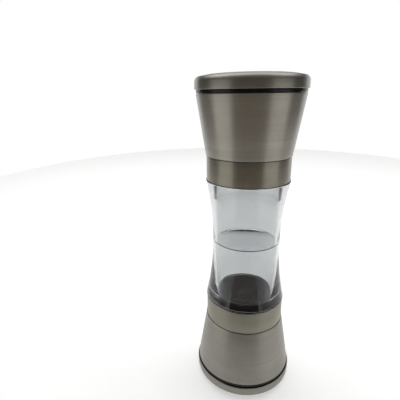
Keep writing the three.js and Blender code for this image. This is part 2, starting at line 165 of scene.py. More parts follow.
def turned_noise(tree, across_mm, around_mm):
    """Noise that is fine along the outline and long round the axis, as a turned finish is."""
    place = add(tree, "ShaderNodeTexCoord").outputs["Object"]
    level = add(tree, "ShaderNodeSeparateXYZ", {"Vector": place}).outputs["Z"]
    flat, radius = from_axis(tree, place)
    along = add(tree, "ShaderNodeMath", {0: level, 1: radius}, operation="ADD")
    fine = {0: along, 1: 1 / (across_mm * MM)}
    step = add(tree, "ShaderNodeMath", fine, operation="MULTIPLY")
    coarse = {0: flat, "Scale": 1 / (around_mm * MM)}
    wide = add(tree, "ShaderNodeVectorMath", coarse, operation="SCALE")
    parts = add(tree, "ShaderNodeSeparateXYZ", {"Vector": wide}).outputs
    joined = add(tree, "ShaderNodeCombineXYZ", {"X": parts["X"], "Y": parts["Y"], "Z": step})
    pattern = {"Vector": joined, "Scale": 1.0, "Detail": 2.0, "Roughness": 0.6}
    return add(tree, "ShaderNodeTexNoise", pattern)


def plain_noise(tree, size_mm, detail=2.0):
    """Even noise whose patches are about size_mm across."""
    place = add(tree, "ShaderNodeTexCoord").outputs["Object"]
    pattern = {"Vector": place, "Scale": 1 / (size_mm * MM), "Detail": detail, "Roughness": 0.55}
    return add(tree, "ShaderNodeTexNoise", pattern)


# %% Brushed stainless steel
SCRATCH_MM = 0.3
STREAK_MM = 6.0


def brushed_steel(name, dark, light, rough_low, rough_high):
    """Satin stainless, brushed round the axis, with faint wider streaks and handling marks."""
    material, tree = new_material(name)
    scratches = turned_noise(tree, SCRATCH_MM, 30.0)
    streaks = turned_noise(tree, STREAK_MM, 60.0)
    both = add(tree, "ShaderNodeMath", {0: scratches, 1: streaks}, operation="MULTIPLY")
    stops = ((0.15, srgb(dark)), (0.4, srgb(light)))
    shade = add(tree, "ShaderNodeValToRGB", {"Fac": both}, stops)
    marks = {"Value": plain_noise(tree, 14.0), "To Min": rough_low, "To Max": rough_high}
    rough = add(tree, "ShaderNodeMapRange", marks)
    tangent = add(tree, "ShaderNodeTangent", direction_type="RADIAL", axis="Z")
    surface(
        tree, shade, rough, scratches, 0.004, Metallic=1.0, Anisotropic=0.75,
        Anisotropic_Rotation=0.25, Tangent=tangent,
    )
    return material


STEEL = brushed_steel("satin_stainless_steel", "#918e86", "#9c9990", 0.33, 0.44)
# The collars' copy of the steel is darker and warmer: painted shade and a painted warm
# reflection.
SHADED_COLLAR_STEEL = brushed_steel("collar_steel_painted_shade", "#868276", "#908c80", 0.32, 0.42)
print("materials", STEEL.name, SHADED_COLLAR_STEEL.name)

# %% [markdown]
# ## Bright drawn steel
# The shaft, the spring and the clip are drawn or rolled spring steel. It is smoother than
# the brushed sheet, so it gives the eye small hard highlights.

# %% Bright steel
BRIGHT_STEEL, _tree = new_material("bright_drawn_steel")
_stops = ((0.35, srgb("#a7a7a6")), (0.65, srgb("#c4c4c2")))
_shade = add(_tree, "ShaderNodeValToRGB", {"Fac": plain_noise(_tree, 1.5)}, _stops)
_marks = {"Value": plain_noise(_tree, 0.6), "To Min": 0.16, "To Max": 0.3}
surface(_tree, _shade, add(_tree, "ShaderNodeMapRange", _marks), Metallic=1.0)
print("material", BRIGHT_STEEL.name)

# %% [markdown]
# ## Moulded black ABS
# The lining, housing, knob, carrier and screw ring are injection-moulded ABS, a black
# plastic with a faint blue cast. The mould's fine spark texture breaks up its highlights.
# Its grain is about 0.15 mm, drawn 0.35 mm here so that it shows.

# %% Black plastic
BLACK_ABS, _tree = new_material("black_moulded_abs")
_grain = plain_noise(_tree, 0.35, 3.0)
_stops = ((0.3, srgb("#0b0c0f")), (0.7, srgb("#141519")))
_shade = add(_tree, "ShaderNodeValToRGB", {"Fac": plain_noise(_tree, 9.0)}, _stops)
_marks = {"Value": _grain, "To Min": 0.18, "To Max": 0.32}
_rough = add(_tree, "ShaderNodeMapRange", _marks)
surface(_tree, _shade, _rough, _grain, 0.02, IOR=1.54, Specular_IOR_Level=0.25)
print("material", BLACK_ABS.name)

# %% [markdown]
# ## Clear acrylic
# The jar is moulded acrylic, which bends light with an index of 1.49. Its wall is tinted a
# faint grey: mostly painted shade for the dimmer room seen through it, and a little real
# absorption, since a thick wall takes more light than a thin one. The web across the waist is
# nearly clear. Use has left it slightly hazy with fine scuffs, so its roughness varies.

# %% Acrylic
WEB_EDGE_MM = 18.6
WALL_START_MM = 19.0
ACRYLIC, _tree = new_material("clear_acrylic")
_place = add(_tree, "ShaderNodeTexCoord").outputs["Object"]
_flat, _radius = from_axis(_tree, _place)
_edge = {"Value": _radius, "From Min": WEB_EDGE_MM * MM, "From Max": WALL_START_MM * MM}
_painted_wall_shade = add(_tree, "ShaderNodeMapRange", _edge)
# Painted shade: the wall's grey tint, with the thin web near white.
_stops = ((0.0, srgb("#f4f6f7")), (1.0, srgb("#d6d8d9")))
_shade = add(_tree, "ShaderNodeValToRGB", {"Fac": _painted_wall_shade}, _stops)
_marks = {"Value": plain_noise(_tree, 6.0, 4.0), "To Min": 0.0, "To Max": 0.06}
_rough = add(_tree, "ShaderNodeMapRange", _marks)
_waves = plain_noise(_tree, 16.0, 1.0)
surface(_tree, _shade, _rough, _waves, 0.05, IOR=1.49, Transmission_Weight=1.0)
print("material", ACRYLIC.name)

# %% [markdown]
# ## Ceramic and silicone
# The burrs are sintered, unglazed alumina ceramic: matt, off-white, with a fine grain. The
# gasket is milky silicone, which lets a little light into its surface.

# %% Ceramic
CERAMIC, _tree = new_material("sintered_ceramic")
_grain = plain_noise(_tree, 0.5, 4.0)
_stops = ((0.3, srgb("#d9d5c9")), (0.6, srgb("#efece4")))
_shade = add(_tree, "ShaderNodeValToRGB", {"Fac": _grain}, _stops)
_marks = {"Value": _grain, "To Min": 0.45, "To Max": 0.65}
surface(_tree, _shade, add(_tree, "ShaderNodeMapRange", _marks), _grain, 0.03, IOR=1.76)
print("material", CERAMIC.name)

# %% Silicone
SILICONE, _tree = new_material("milky_silicone")
_haze = plain_noise(_tree, 2.0)
_marks = {"Value": _haze, "To Min": 0.45, "To Max": 0.62}
_rough = add(_tree, "ShaderNodeMapRange", _marks)
surface(
    _tree, srgb("#d9dcdd"), _rough, _haze, 0.03, IOR=1.41, Subsurface_Weight=0.3,
    Subsurface_Radius=(0.002, 0.002, 0.0018),
)
print("materials", len(bpy.data.materials))

# %% [markdown]
# ## Outlines
# An outline is a list of points, each a radius and a level, that runs up the outer side of a
# piece and back down its inner side. A third number rounds that corner, because no moulded
# or pressed edge is truly sharp, and a rounded edge catches a line of light.


# %% Rounded outlines
def rounded(points, closed, steps=5):
    """The outline with each corner that has a third number turned into a smooth curve."""
    result = []
    count = len(points)
    for i, point in enumerate(points):
        corner = Vector(point[:2])
        at_end = not closed and i in (0, count - 1)
        if len(point) == 2 or at_end:
            result.append(corner)
            continue
        before = Vector(points[i - 1][:2]) - corner
        after = Vector(points[(i + 1) % count][:2]) - corner
        reach = min(point[2], 0.48 * before.length, 0.48 * after.length)
        start = corner + before.normalized() * reach
        end = corner + after.normalized() * reach
        for k in range(steps + 1):
            t = k / steps
            result.append(start * (1 - t) ** 2 + corner * 2 * t * (1 - t) + end * t**2)
    return result


# %% [markdown]
# ## A lathe made of nodes
# Geometry Nodes revolve the outline: it becomes the profile of a curve that runs round a
# circle. Flutes move the points in or out as a wave round the axis, which cuts the teeth of
# the burrs and the grips of the knob. Twist turns the wave with height, so teeth can spiral.


# %% The lathe tree
PATH_RADIUS = 0.02
SAME_PLACE = 1e-6


def group_input(tree, name, kind, value=None):
    """A named input of a geometry node tree, with its default."""
    socket = tree.interface.new_socket(name, in_out="INPUT", socket_type=kind)
    if value is not None:
        socket.default_value = value


def new_tree(name, inputs):
    """A geometry node tree with its named inputs and one geometry output."""
    tree = bpy.data.node_groups.new(name, "GeometryNodeTree")
    for row in inputs:
        group_input(tree, *row)
    tree.interface.new_socket("Part", in_out="OUTPUT", socket_type="NodeSocketGeometry")
    return tree, add(tree, "NodeGroupInput").outputs


def finish_tree(tree, geometry, material):
    """Ends a tree: instances made real, then the material."""
    real = add(tree, "GeometryNodeRealizeInstances", {"Geometry": geometry})
    look = {"Geometry": real, "Material": material}
    add(tree, "NodeGroupOutput", {"Part": add(tree, "GeometryNodeSetMaterial", look)})


def lathe_tree():
    """Revolves the object's own outline about Z, with optional flutes."""
    tree, given = new_tree(
        "lathe",
        (
            ("Outline", "NodeSocketGeometry"),
            ("Facets", "NodeSocketInt", 160),
            ("Flutes", "NodeSocketInt", 0),
            ("Flute Depth", "NodeSocketFloat", 0.0),
            ("Flute Depth Top", "NodeSocketFloat", 0.0),
            ("Level Low", "NodeSocketFloat", 0.0),
            ("Level High", "NodeSocketFloat", 1.0),
            ("Radius Low", "NodeSocketFloat", 0.0),
            ("Radius High", "NodeSocketFloat", 1.0),
            ("Twist", "NodeSocketFloat", 0.0),
            ("Material", "NodeSocketMaterial"),
        ),
    )
    profile = add(
        tree,
        "GeometryNodeTransform",
        {
            "Geometry": add(tree, "GeometryNodeMeshToCurve", {"Mesh": given["Outline"]}),
            "Translation": (-PATH_RADIUS, 0, 0),
            "Scale": (1, -1, 1),
        },
    )
    ring = {"Resolution": given["Facets"], "Radius": PATH_RADIUS}
    circle = add(tree, "GeometryNodeCurvePrimitiveCircle", ring)
    upright = add(tree, "GeometryNodeSetCurveNormal", {"Curve": circle}, mode="Z_UP")
    shell = add(tree, "GeometryNodeCurveToMesh", {"Curve": upright, "Profile Curve": profile})
    closed = add(tree, "GeometryNodeMergeByDistance", {"Geometry": shell, "Distance": SAME_PLACE})

    place = add(tree, "GeometryNodeInputPosition")
    x, y, z = add(tree, "ShaderNodeSeparateXYZ", {"Vector": place}).outputs
    _, radius = from_axis(tree, place)
    angle = add(tree, "ShaderNodeMath", {0: y, 1: x}, operation="ARCTAN2")
    twist = add(tree, "ShaderNodeMath", {0: z, 1: given["Twist"]}, operation="MULTIPLY")
    turned = add(tree, "ShaderNodeMath", {0: angle, 1: twist}, operation="ADD")
    phase = add(tree, "ShaderNodeMath", {0: turned, 1: given["Flutes"]}, operation="MULTIPLY")
    wave = add(tree, "ShaderNodeMath", {0: phase}, operation="COSINE")
    depth = add(
        tree,
        "ShaderNodeMapRange",
        {
            "Value": z,
            "From Min": given["Level Low"],
            "From Max": given["Level High"],
            "To Min": given["Flute Depth"],
            "To Max": given["Flute Depth Top"],
        },
    )
    wave_span = {"Value": wave, "From Min": 1.0, "From Max": -1.0, "To Max": depth}
    move = add(tree, "ShaderNodeMapRange", wave_span)
    for limit, test in (("Radius Low", "GREATER_THAN"), ("Radius High", "LESS_THAN")):
        inside = add(tree, "ShaderNodeMath", {0: radius, 1: given[limit]}, operation=test)
        move = add(tree, "ShaderNodeMath", {0: move, 1: inside}, operation="MULTIPLY")
    parts = {}
    for axis, wave_kind in (("X", "COSINE"), ("Y", "SINE")):
        part = add(tree, "ShaderNodeMath", {0: angle}, operation=wave_kind)
        parts[axis] = add(tree, "ShaderNodeMath", {0: part, 1: move}, operation="MULTIPLY")
    outward = add(tree, "ShaderNodeCombineXYZ", parts)
    fluted = {"Geometry": closed, "Offset": outward}
    finish_tree(tree, add(tree, "GeometryNodeSetPosition", fluted), given["Material"])
    return tree


LATHE = lathe_tree()
print("lathe nodes", len(LATHE.nodes))

# %% [markdown]
# ## From nodes to a plain mesh
# A tree's result is baked to a mesh before anything rides on a body. Doubles are merged,
# faces are turned outwards, and edges sharper than 32 degrees stay crisp. The upper copy is
# the same mesh turned over, so both ends match exactly.


# %% Bake, place and dress
SHARP = math.radians(32)
TURN_OVER = Matrix.Translation((0, 0, HEIGHT * MM)) @ Matrix.Rotation(math.pi, 4, "X")
PIECES = {}


def set_inputs(modifier, values):
    """Sets a nodes modifier's inputs by their identifiers."""
    for item in modifier.node_group.interface.items_tree:
        if item.in_out == "INPUT" and item.name in values:
            modifier[item.identifier] = values[item.name]


def bake(source_mesh, tree, values):
    """Runs a tree on a mesh and returns the result as a plain mesh."""
    maker = bpy.data.objects.new("maker", source_mesh)
    bpy.context.scene.collection.objects.link(maker)
    modifier = maker.modifiers.new("tree", "NODES")
    modifier.node_group = tree
    set_inputs(modifier, values)
    depsgraph = bpy.context.evaluated_depsgraph_get()
    mesh = bpy.data.meshes.new_from_object(maker.evaluated_get(depsgraph))
    bpy.data.objects.remove(maker)
    return mesh


def tidy(mesh):
    """Merges doubles, turns faces outwards and keeps sharp edges sharp."""
    work = bmesh.new()
    work.from_mesh(mesh)
    bmesh.ops.remove_doubles(work, verts=work.verts, dist=SAME_PLACE)
    bmesh.ops.dissolve_degenerate(work, edges=work.edges, dist=1e-7)
    bmesh.ops.recalc_face_normals(work, faces=work.faces)
    open_edges = sum(not edge.is_manifold for edge in work.edges)
    work.to_mesh(mesh)
    work.free()
    mesh.polygons.foreach_set("material_index", [0] * len(mesh.polygons))
    mesh.shade_smooth()
    mesh.set_sharp_from_angle(angle=SHARP)
    if open_edges:
        print("open edges in", mesh.name, open_edges)


def show(mesh, name, body, node, material):
    """Makes one finished piece: it rides on its body and stands for its CAD node."""
    mesh.name = name
    mesh.materials.clear()
    mesh.materials.append(material)
    piece = bpy.data.objects.new(name, mesh)
    bpy.context.scene.collection.objects.link(piece)
    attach(piece, body)
    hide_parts(node)
    PIECES[name] = len(mesh.polygons)
    return piece


def both_ends(mesh, name, body, material):
    """Shows a lower piece and its turned-over twin, and returns the two."""
    tidy(mesh)
    over = mesh.copy()
    over.transform(TURN_OVER)
    meshes = dict(zip(SIDES, (mesh, over)))
    shown = []
    for side in SIDES:
        piece = show(
            meshes[side], f"{side}_{name}_finished", f"{side}_{body}", f"{side}_{name}",
            material,
        )
        shown.append(piece)
    return shown


def outline_mesh(points, closed):
    """An outline as a mesh of edges, in metres, for the lathe."""
    corners = [(radius * MM, level * MM, 0) for radius, level in points]
    edges = [(i, i + 1) for i in range(len(corners) - 1)]
    if closed:
        edges.append((len(corners) - 1, 0))
    mesh = bpy.data.meshes.new("outline")
    mesh.from_pydata(corners, edges, [])
    return mesh


def lathe(points, material, closed=True, facets=160, **flutes):
    """Revolves an outline given in millimetres. It touches the axis when not closed."""
    outline = outline_mesh(rounded(points, closed), closed)
    values = {"Facets": facets, "Material": material}
    values.update({key.replace("_", " "): value for key, value in flutes.items()})
    return bake(outline, LATHE, values)


# %% [markdown]
# ## Lids
# Each lid is a pressing: a flat centre to stand on, a crown so shallow that it only shows as
# a thin crescent, and a rounded edge. The hem at the rim is a fine rounded edge of its own,
# which shows as a bright line above the black gap. The crown follows a square law, so it
# leaves the flat without a crease.

# %% Lid shells
SHEET = 0.6
FLAT_R = 18.0
CROWN = 1.25
EDGE_R = 3.0


def crown(radius):
    """Level of the lid's outer face at a radius."""
    share = max(0.0, (radius - FLAT_R) / (LID_R - EDGE_R - FLAT_R))
    return CROWN * share**2


def lid_outline():
    """The lid's section: outer face, rounded edge, rim and inner face."""
    crown_radii = [FLAT_R + (LID_R - EDGE_R - FLAT_R) * k / 8 for k in range(9)]
    outer = [(0, 0)] + [(r, crown(r)) for r in crown_radii]
    corner = (LID_R - EDGE_R, CROWN + EDGE_R)
    bend = [math.radians(-80 + 10 * k) for k in range(9)]
    outer += [(corner[0] + EDGE_R * math.cos(a), corner[1] + EDGE_R * math.sin(a)) for a in bend]
    rim = [(LID_R, LID_RIM, 0.3), (LID_R - SHEET, LID_RIM, 0.22)]
    inside = EDGE_R - SHEET
    inner = [
        (corner[0] + inside * math.cos(a), corner[1] + inside * math.sin(a))
        for a in reversed(bend)
    ]
    inner += [(r, crown(r) + SHEET) for r in reversed(crown_radii)] + [(0, SHEET)]
    return outer + rim + inner


both_ends(lathe(lid_outline(), STEEL, closed=False, facets=192), "lid_shell", "lid", STEEL)
print("lid shells", PIECES["lower_lid_shell_finished"], "faces each")

# %% [markdown]
# ## Lid liners
# The black lining fills the gap between lid and skirt, right down to the housing's mouth, so
# no light shows through it. Its plug ring slides into the head's mouth. The ring has shallow
# crush ribs, which are flutes of a few hundredths of a millimetre, and the floor carries two
# moulded rings.

# %% Lid liners
PLUG_R = 27.2
LINER_INSIDE = PLUG_R - 1.8
liner_outline = [
    (0, LINER_LOW),
    (FLAT_R, LINER_LOW, 1.0),
    (29.4, 2.4, 1.0),
    (LINER_R, 4.2, 0.5),
    (LINER_R, HOUSING_LOW - 0.05, 0.1),
    (PLUG_R, HOUSING_LOW - 0.05, 0.2),
    (PLUG_R - 0.3, LINER_TOP, 0.5),
    (LINER_INSIDE, LINER_TOP, 0.5),
    (LINER_INSIDE, 2.7, 0.9),
    (21.0, 2.7, 0.1),
    (20.7, 3.0, 0.1),
    (20.0, 3.0, 0.1),
    (19.7, 2.7, 0.1),
    (9.0, 2.7, 0.1),
    (8.7, 3.0, 0.1),
    (8.0, 3.0, 0.1),
    (7.7, 2.7, 0.1),
    (0, 2.7),
]
liner = lathe(
    liner_outline, BLACK_ABS, closed=False, facets=192, Flutes=24, Flute_Depth=-0.00006,
    Flute_Depth_Top=-0.00012, Level_Low=0.010, Level_High=0.016, Radius_Low=0.0268,
    Radius_High=0.0275,
)
both_ends(liner, "lid_liner", "lid", BLACK_ABS)
print("lid liners", PIECES["lower_lid_liner_finished"])

# %% [markdown]
# ## Skirts and collars
# The flared skirt is what the hand turns. Both its edges are rolled, so they end in a fine
# round. The collar is a plain band, a hair narrower, so a thin dark seam shows between them.

# %% Skirt shells
SKIRT_NARROW = 25.6
SKIRT_WALL = 0.7
skirt_outline = [
    (SKIRT_R - SKIRT_WALL, SKIRT_LOW, 0.2),
    (SKIRT_R - 0.05, SKIRT_LOW, 0.45),
    (SKIRT_NARROW, SKIRT_TOP, 0.3),
    (SKIRT_NARROW - SKIRT_WALL, SKIRT_TOP, 0.2),
]
both_ends(lathe(skirt_outline, STEEL, facets=192), "skirt_shell", "head", STEEL)
print("skirts", PIECES["lower_skirt_shell_finished"])

# %% Collar bands
COLLAR_WALL = 0.35
collar_outline = [
    (COLLAR_R - COLLAR_WALL, COLLAR_LOW, 0.1),
    (COLLAR_R, COLLAR_LOW, 0.2),
    (COLLAR_R, COLLAR_TOP, 0.2),
    (COLLAR_R - COLLAR_WALL, COLLAR_TOP, 0.1),
]
collar = lathe(collar_outline, SHADED_COLLAR_STEEL, facets=192)
both_ends(collar, "collar_band", "base", SHADED_COLLAR_STEEL)
print("collars", PIECES["lower_collar_band_finished"])

# %% [markdown]
# ## Screw threads
# The jar's neck carries a coarse ridge, 4 mm a turn, and the screw ring a matching groove.
# A spiral curve is the path, and a small trapezoid is swept along it. The groove is cut with
# a wider trapezoid, so the two never touch. Joining and cutting use the exact mesh boolean,
# because a ridge that only overlapped the clear neck would bend the light twice.

# %% The thread tree
PITCH = 4.0
NECK_R = 22.0
THREAD_LOW = 50.8
THREAD_STEPS = 64


def choose_cut(tree, given, shown, cutter):
    """Ends a tree with what it shows, or with its body after the cutter has cut it."""
    pair = {"Mesh 1": given["Body"], "Mesh 2": cutter}
    cut = add(tree, "GeometryNodeMeshBoolean", pair, operation="DIFFERENCE", solver="EXACT")
    choice = {"Switch": given["Cut"], "False": shown, "True": cut}
    picked = add(tree, "GeometryNodeSwitch", choice, input_type="GEOMETRY")
    finish_tree(tree, picked, given["Material"])


def thread_tree():
    """Joins a spiral ridge to a body, or cuts a groove from it."""
    tree, given = new_tree(
        "screw_thread",
        (
            ("Body", "NodeSocketGeometry"),
            ("Turns", "NodeSocketFloat", 1.5),
            ("Path Radius", "NodeSocketFloat", 0.022),
            ("Pitch", "NodeSocketFloat", 0.004),
            ("Start Level", "NodeSocketFloat", 0.05),
            ("Start Angle", "NodeSocketFloat", 0.0),
            ("Root Width", "NodeSocketFloat", 0.002),
            ("Crest Width", "NodeSocketFloat", 0.001),
            ("Ridge Height", "NodeSocketFloat", 0.001),
            ("Cut", "NodeSocketBool", False),
            ("Material", "NodeSocketMaterial"),
        ),
    )
    climb = {0: given["Turns"], 1: given["Pitch"]}
    spiral = add(
        tree,
        "GeometryNodeCurveSpiral",
        {
            "Resolution": THREAD_STEPS,
            "Rotations": given["Turns"],
            "Start Radius": given["Path Radius"],
            "End Radius": given["Path Radius"],
            "Height": add(tree, "ShaderNodeMath", climb, operation="MULTIPLY"),
        },
    )
    upright = add(tree, "GeometryNodeSetCurveNormal", {"Curve": spiral}, mode="Z_UP")
    section = add(
        tree,
        "GeometryNodeCurvePrimitiveQuadrilateral",
        {
            "Bottom Width": given["Root Width"],
            "Top Width": given["Crest Width"],
            "Height": given["Ridge Height"],
            "Offset": 0.0,
        },
        mode="TRAPEZOID",
    )
    side_on = {"Geometry": section, "Rotation": (0, 0, -math.pi / 2)}
    turned = add(tree, "GeometryNodeTransform", side_on)
    sweep = {"Curve": upright, "Profile Curve": turned, "Fill Caps": True}
    placed = add(
        tree,
        "GeometryNodeTransform",
        {
            "Geometry": add(tree, "GeometryNodeCurveToMesh", sweep),
            "Translation": add(tree, "ShaderNodeCombineXYZ", {"Z": given["Start Level"]}),
            "Rotation": add(tree, "ShaderNodeCombineXYZ", {"Z": given["Start Angle"]}),
        },
    )
    joined = add(
        tree, "GeometryNodeMeshBoolean", {"Self Intersection": True}, operation="UNION",
        solver="EXACT",
    )
    for geometry in (given["Body"], placed.outputs["Geometry"]):
        tree.links.new(geometry, joined.inputs["Mesh 2"])
    choose_cut(tree, given, joined, placed)
    return tree


THREAD = thread_tree()
print("thread nodes", len(THREAD.nodes))

# %% [markdown]
# ## Grinder housing
# The black housing lines the skirt and carries the outer burr in a seat in its middle. Its
# mouth takes the lid's plug ring.

# %% Grinder housings
HOUSING_WALL = 2.0
SEAT_R = 18.4
TAPER = (SKIRT_R - SKIRT_NARROW) / (SKIRT_TOP - SKIRT_LOW)


def housing_radius(level):
    """Outer radius of the housing, a small gap inside the skirt's wall."""
    return SKIRT_R - TAPER * (level - SKIRT_LOW) - SKIRT_WALL - 0.35


housing_outline = [
    (PLUG_R + 0.4, HOUSING_LOW, 0.3),
    (housing_radius(HOUSING_LOW), HOUSING_LOW, 0.3),
    (housing_radius(HOUSING_TOP), HOUSING_TOP, 0.4),
    (14.4, HOUSING_TOP, 0.3),
    (14.4, 43.0, 0.2),
    (16.6, 43.0, 0.3),
    (16.6, 36.2, 0.3),
    (12.9, 36.2, 0.4),
    (12.9, 34.4, 0.2),
    (15.4, 34.4, 0.1),
    (15.4, 20.0, 0.3),
    (SEAT_R, 20.0, 0.3),
    (SEAT_R, 42.8, 1.2),
    (housing_radius(42.8) - HOUSING_WALL, 42.8, 1.2),
    (housing_radius(19.8) - HOUSING_WALL, 19.8, 0.2),
    (PLUG_R + 0.4, 19.8, 0.3),
]
housing = lathe(housing_outline, BLACK_ABS, facets=192)
both_ends(housing, "grinder_housing", "head", BLACK_ABS)
print("housings", PIECES["lower_grinder_housing_finished"])

# %% [markdown]
# ## Outlet plate and burr retainer
# The outlet plate closes the hollow between the seat and the mouth. The retainer is the
# ring under the outer burr, and its rim is scalloped for the fingers that press it in.

# %% Outlet plates and burr retainers
plate_outline = [
    (18.7, PLATE_LOW, 0.3),
    (20.6, PLATE_LOW, 0.4),
    (21.4, 18.2, 0.4),
    (PLATE_R, 18.2, 0.3),
    (PLATE_R, PLATE_TOP, 0.2),
    (18.7, PLATE_TOP, 0.2),
]
both_ends(lathe(plate_outline, BLACK_ABS), "outlet_plate", "head", BLACK_ABS)

retainer_outline = [
    (13.6, 18.0, 0.2),
    (14.1, RETAINER_LOW, 0.3),
    (17.0, RETAINER_LOW, 0.2),
    (RETAINER_R, RETAINER_LOW + 0.5, 0.3),
    (RETAINER_R, 19.8, 0.2),
    (BURR_R, 19.8, 0.1),
    (BURR_R, RETAINER_TOP, 0.2),
    (13.6, RETAINER_TOP, 0.2),
]
retainer = lathe(
    retainer_outline, BLACK_ABS, Flutes=16, Flute_Depth=-0.0007, Flute_Depth_Top=0.0,
    Level_Low=0.0176, Level_High=0.0198, Radius_Low=0.0158, Radius_High=0.03,
)
both_ends(retainer, "burr_retainer", "head", BLACK_ABS)
print("outlet plates and retainers", PIECES["lower_burr_retainer_finished"])

# %% [markdown]
# ## Burrs
# The outer burr is a toothed ring and the inner burr a toothed cone that turns inside it.
# The teeth spiral, so they draw the peppercorns down. They are coarse at the throat, where
# whole corns are cracked, and fine at the outlet, where the gap sets the grind.


# %% Burrs
def stretch(start, end, steps):
    """Points along a straight line from start to end, without the end."""
    return [
        (
            start[0] + (end[0] - start[0]) * k / steps,
            start[1] + (end[1] - start[1]) * k / steps,
        )
        for k in range(steps)
    ]


outer_burr_outline = [(BURR_R, BURR_LOW, 0.3), (BURR_R, BURR_TOP, 0.3)]
outer_burr_outline += stretch((12.1, BURR_TOP), (11.6, 29.0), 10)
outer_burr_outline += stretch((11.6, 29.0), (12.9, BURR_LOW), 14) + [(12.9, BURR_LOW)]
outer_burr = lathe(
    outer_burr_outline, CERAMIC, facets=240, Flutes=20, Flute_Depth=0.0005,
    Flute_Depth_Top=0.0014, Level_Low=BURR_LOW * MM, Level_High=BURR_TOP * MM,
    Radius_Low=0.0, Radius_High=0.0135, Twist=25.0,
)
both_ends(outer_burr, "outer_burr", "head", CERAMIC)

inner_burr_outline = [(4.6, CONE_LOW, 0.2)]
inner_burr_outline += stretch((CONE_R, CONE_LOW), (11.5, 24.0), 6)
inner_burr_outline += stretch((11.5, 24.0), (9.5, 29.5), 10)
inner_burr_outline += stretch((9.5, 29.5), (6.2, CONE_TOP), 12) + [(6.2, CONE_TOP)]
inner_burr_outline += [(4.6, CONE_TOP, 0.2)]
inner_burr = lathe(
    inner_burr_outline, CERAMIC, facets=240, Flutes=12, Flute_Depth=-0.0005,
    Flute_Depth_Top=-0.0011, Level_Low=CONE_LOW * MM, Level_High=CONE_TOP * MM,
    Radius_Low=0.0058, Radius_High=0.02, Twist=60.0,
)
both_ends(inner_burr, "inner_burr", "rotor", CERAMIC)
print("burrs", PIECES["lower_outer_burr_finished"], PIECES["lower_inner_burr_finished"])

# %% [markdown]
# ## Hub, knob and shaft
# The hub carries the inner burr. The scalloped knob under it sets how coarse the grind is,
# and fingers turn it, so its rim has eight hollows. The shaft's end has the fine thread
# that the knob runs on, and a chamfer at its tip.

# %% Hubs and knobs
HUB_R = 4.4
hub_outline = [
    (2.7, HUB_LOW, 0.2),
    (HUB_FLANGE_R, HUB_LOW, 0.3),
    (HUB_FLANGE_R, 21.1, 0.2),
    (HUB_R, 21.1, 0.2),
    (HUB_R, HUB_TOP, 0.4),
    (2.7, HUB_TOP, 0.3),
]
both_ends(lathe(hub_outline, BLACK_ABS, facets=96), "burr_hub", "rotor", BLACK_ABS)

knob_outline = [
    (0, KNOB_LOW + 0.5),
    (3.0, KNOB_LOW + 0.5, 0.3),
    (3.5, KNOB_LOW, 0.3),
    (KNOB_R - 1.3, KNOB_LOW, 0.6),
    (KNOB_R, KNOB_LOW + 1.2, 0.8),
    (KNOB_R, KNOB_TOP - 0.6, 0.4),
    (KNOB_R - 0.5, KNOB_TOP, 0.3),
    (2.7, KNOB_TOP, 0.2),
    (2.7, 13.9, 0.2),
    (0, 13.9),
]
knob = lathe(
    knob_outline, BLACK_ABS, closed=False, facets=192, Flutes=8, Flute_Depth=-0.0011,
    Flute_Depth_Top=-0.0011, Level_Low=KNOB_LOW * MM, Level_High=KNOB_TOP * MM,
    Radius_Low=0.006, Radius_High=0.02,
)
both_ends(knob, "adjuster_knob", "knob", BLACK_ABS)
print("hubs", PIECES["lower_burr_hub_finished"], "knobs", PIECES["lower_adjuster_knob_finished"])

# %% Shafts with their fine thread
SHAFT_CORE = SHAFT_R - 0.35
shaft_outline = [
    (0, SHAFT_LOW),
    (SHAFT_CORE - 0.4, SHAFT_LOW, 0.1),
    (SHAFT_CORE, SHAFT_LOW + 0.5, 0.1),
    (SHAFT_CORE, 24.0, 0.1),
    (SHAFT_R, 24.4, 0.1),
    (SHAFT_R, SHAFT_TOP - 0.4, 0.1),
    (SHAFT_R - 0.4, SHAFT_TOP, 0.1),
    (0, SHAFT_TOP),
]
shaft_core = lathe(shaft_outline, BRIGHT_STEEL, closed=False, facets=64)
tidy(shaft_core)
shaft = bake(
    shaft_core,
    THREAD,
    {
        "Turns": 9.5,
        "Path Radius": (SHAFT_R + SHAFT_CORE - 0.1) / 2 * MM,
        "Pitch": 0.8 * MM,
        "Start Level": (SHAFT_LOW + 0.7) * MM,
        "Root Width": 0.7 * MM,
        "Crest Width": 0.15 * MM,
        "Ridge Height": 0.44 * MM,
        "Material": BRIGHT_STEEL,
    },
)
both_ends(shaft, "shaft", "base", BRIGHT_STEEL)
print("shaft", PIECES["lower_shaft_finished"])

# %% [markdown]
# ## Jar
# The jar is one moulding with a web across its waist, so it holds salt on one side and
# pepper on the other. The wall thickens towards the ends, because the bore stays almost
# straight while the outside flares. The bore is a little uneven, as a thick moulding is.

# %% Jar
BORE_WAIST = 19.2
BORE_MOUTH = 18.8
WEB = 0.4
WAIST_R = 21.4
FLARE = 2.1


def jar_radius(level):
    """Outer radius of the hourglass at a level."""
    share = abs(level - WAIST) / (WAIST - SHOULDER)
    return WAIST_R + (JAR_R - WAIST_R) * share**FLARE


jar_half = [(0, WAIST - WEB / 2), (BORE_WAIST, WAIST - WEB / 2, 0.15)]
jar_half += [(BORE_MOUTH, JAR_LOW, 0.6), (NECK_R, JAR_LOW, 0.5), (NECK_R, SHOULDER, 0.5)]
jar_half += [(JAR_R, SHOULDER, 0.6)]
JAR_STEPS = 44
for step in range(JAR_STEPS + 1):
    level = SHOULDER + 0.8 + (WAIST - SHOULDER - 0.8) * step / JAR_STEPS
    jar_half.append((jar_radius(level), level))
upper_half = [(point[0], HEIGHT - point[1], *point[2:]) for point in reversed(jar_half[:-1])]
jar = lathe(jar_half + upper_half, ACRYLIC, closed=False, facets=192)
tidy(jar)

